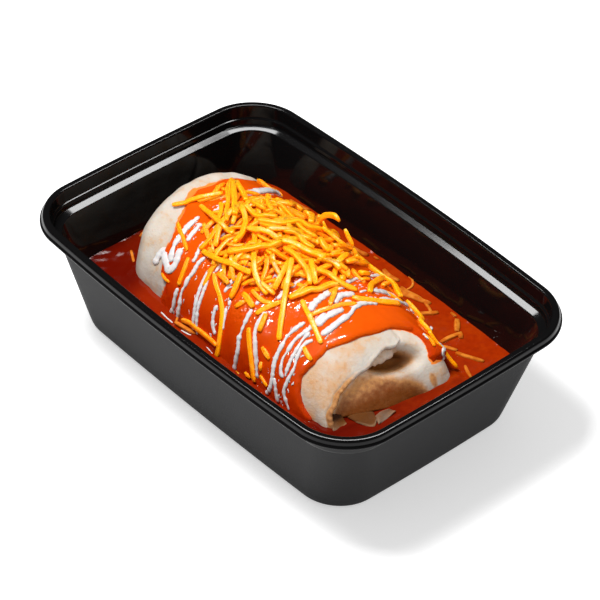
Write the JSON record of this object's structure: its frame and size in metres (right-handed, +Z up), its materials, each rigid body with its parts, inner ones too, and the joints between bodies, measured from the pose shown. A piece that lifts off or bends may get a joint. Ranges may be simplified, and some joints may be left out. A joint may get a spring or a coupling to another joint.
{
  "type": "smothered burrito in tray",
  "caption": "Rolled flour tortilla lying in red sauce in a black rectangular meal tray, topped with sauce, cream drizzle and grated cheese.",
  "frame": {"origin": "middle of the tray's flat underside", "axes": "+X along the burrito from its tucked end to its open folded end, +Y across towards the far long side, +Z up"},
  "size_m": [0.222, 0.1514, 0.0613],
  "materials": {
    "tray": "black moulded plastic, glossy inside and softly textured outside",
    "burrito": "soft flour tortilla, matte, with toasted patches",
    "sauce_pool": "wet glossy red sauce",
    "sauce_coat": "wet glossy orange-red sauce with white cream lines",
    "cheese": "yellow-orange grated cheese, slightly waxy"
  },
  "bodies": {
    "root": {"tray": "tray", "burrito": "burrito", "sauce_pool": "sauce_pool", "sauce_coat": "sauce_coat", "cheese": "cheese"}
  },
  "joints": []
}
